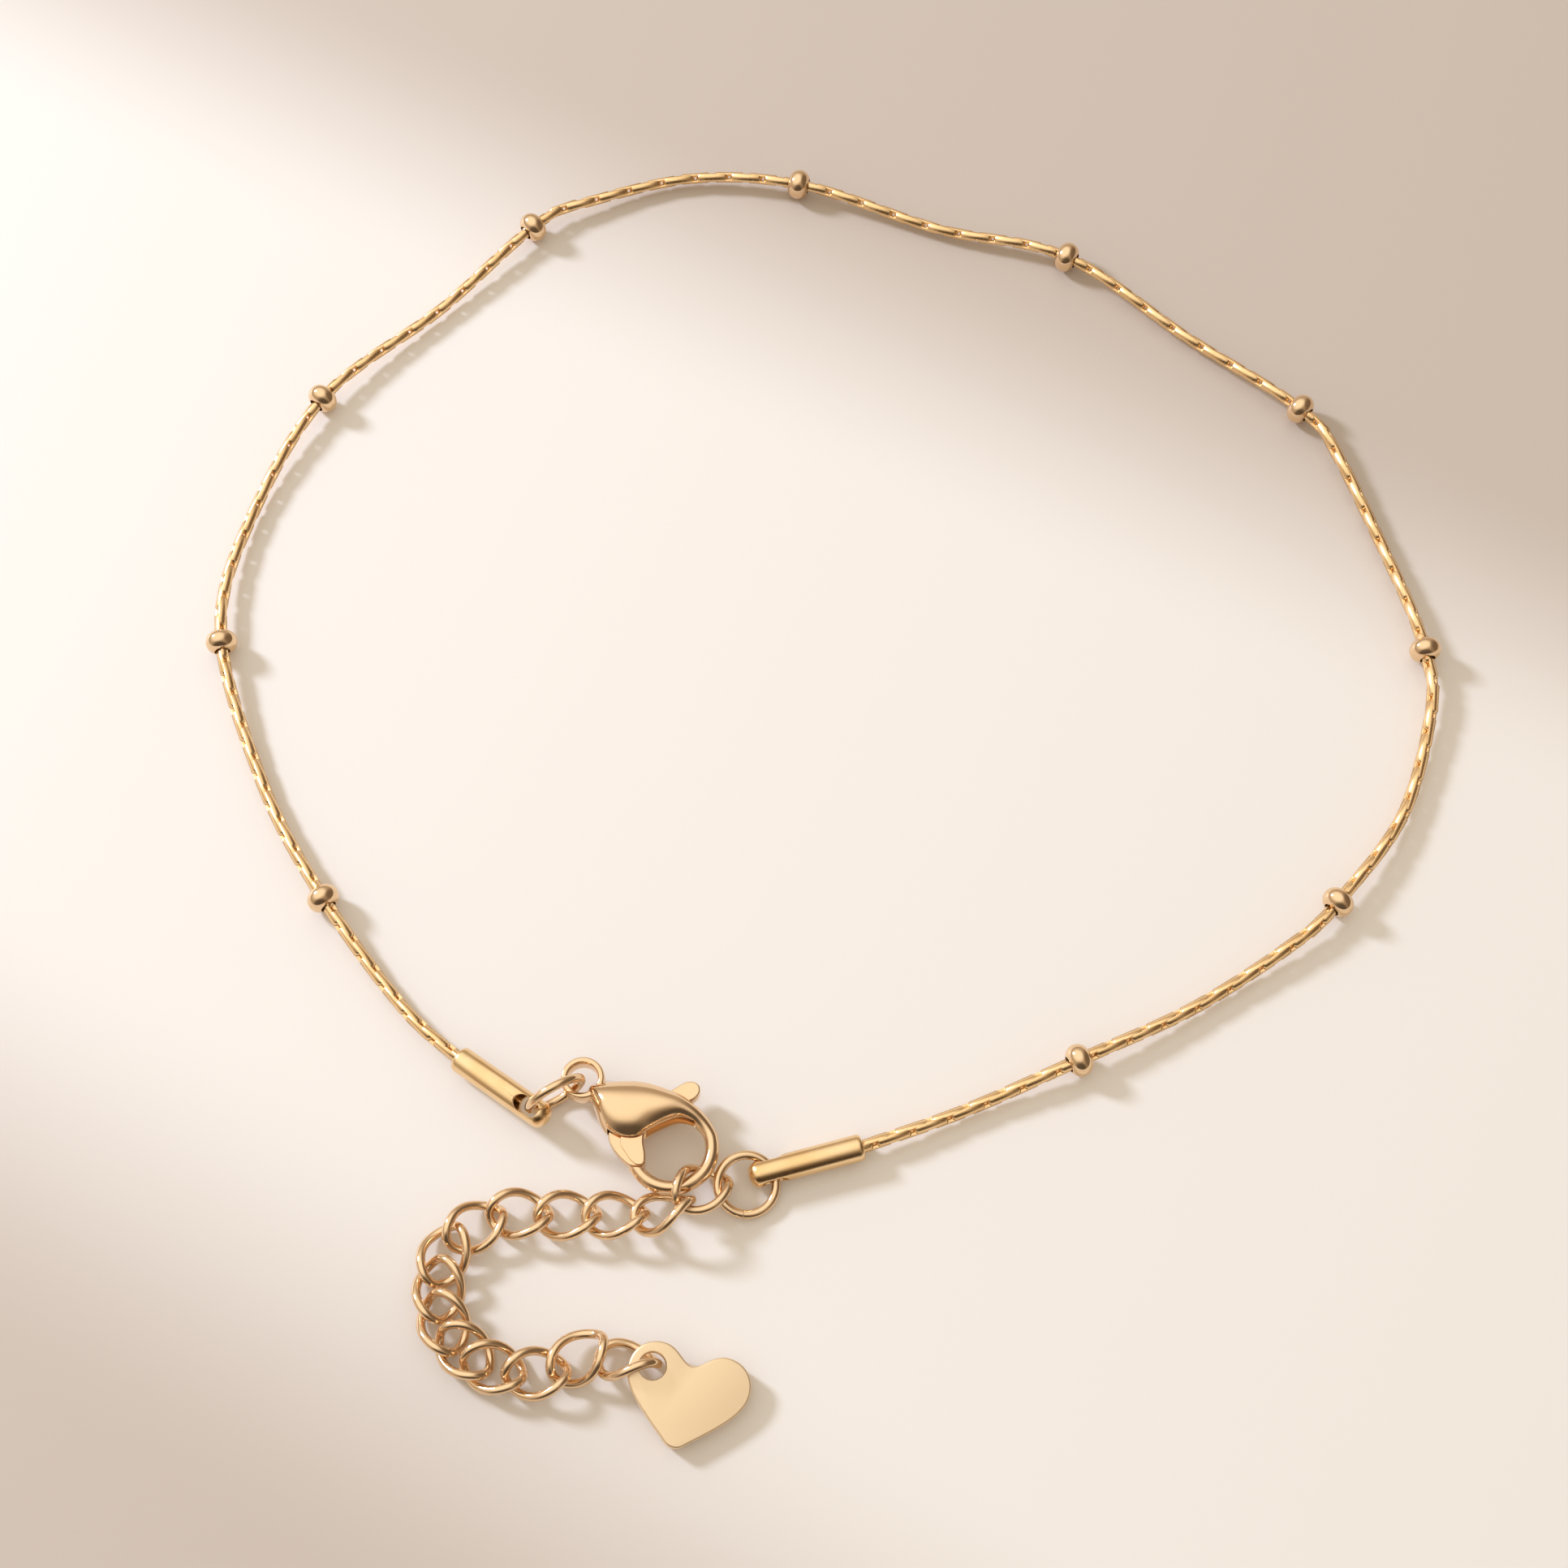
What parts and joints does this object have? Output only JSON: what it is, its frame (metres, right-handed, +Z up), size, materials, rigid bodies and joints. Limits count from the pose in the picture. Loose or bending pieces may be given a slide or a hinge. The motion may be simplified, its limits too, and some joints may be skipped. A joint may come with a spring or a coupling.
{
  "type": "charm anklet",
  "caption": "Fine gold bar-link anklet with small rondelle beads, lobster clasp with a sprung lever, curb extender chain and a flat heart charm, laid flat in a loop.",
  "frame": {"origin": "on the surface the anklet lies on, under the middle of its bounding box", "axes": "+Z up from the surface, +Y from the clasp and charm across the loop to its far side"},
  "size_m": [0.0785, 0.0873, 0.004],
  "materials": {
    "polished_gold": "polished",
    "heart_gold": "satin"
  },
  "bodies": {
    "anklet": {"fine_chain": "polished_gold", "bead_01": "polished_gold", "bead_02": "polished_gold", "bead_03": "polished_gold", "bead_04": "polished_gold", "bead_05": "polished_gold", "bead_06": "polished_gold", "bead_07": "polished_gold", "bead_08": "polished_gold", "bead_09": "polished_gold", "bead_10": "polished_gold", "end_tube_right": "polished_gold", "end_tube_left": "polished_gold", "jump_ring_right": "polished_gold", "jump_ring_left": "polished_gold", "extender_link_01": "polished_gold", "extender_link_02": "polished_gold", "extender_link_03": "polished_gold", "extender_link_04": "polished_gold", "extender_link_05": "polished_gold", "extender_link_06": "polished_gold", "extender_link_07": "polished_gold", "extender_link_08": "polished_gold", "extender_link_09": "polished_gold", "extender_link_10": "polished_gold", "extender_link_11": "polished_gold", "extender_link_12": "polished_gold", "extender_link_13": "polished_gold", "extender_link_14": "polished_gold", "clasp_body": "polished_gold", "clasp_pin": "polished_gold", "heart_charm": "heart_gold"},
    "clasp_gate": {"clasp_lever": "polished_gold"}
  },
  "joints": [
    {"name": "lever_pivot", "type": "hinge", "parent": "anklet", "child": "clasp_gate", "pos_m": [-0.01065, -0.02356, 0.0015], "axis": [0, 0, 1], "range_deg": [0, 22], "stiffness_Nm_per_rad": 0.008, "springref_deg": -11.46}
  ]
}
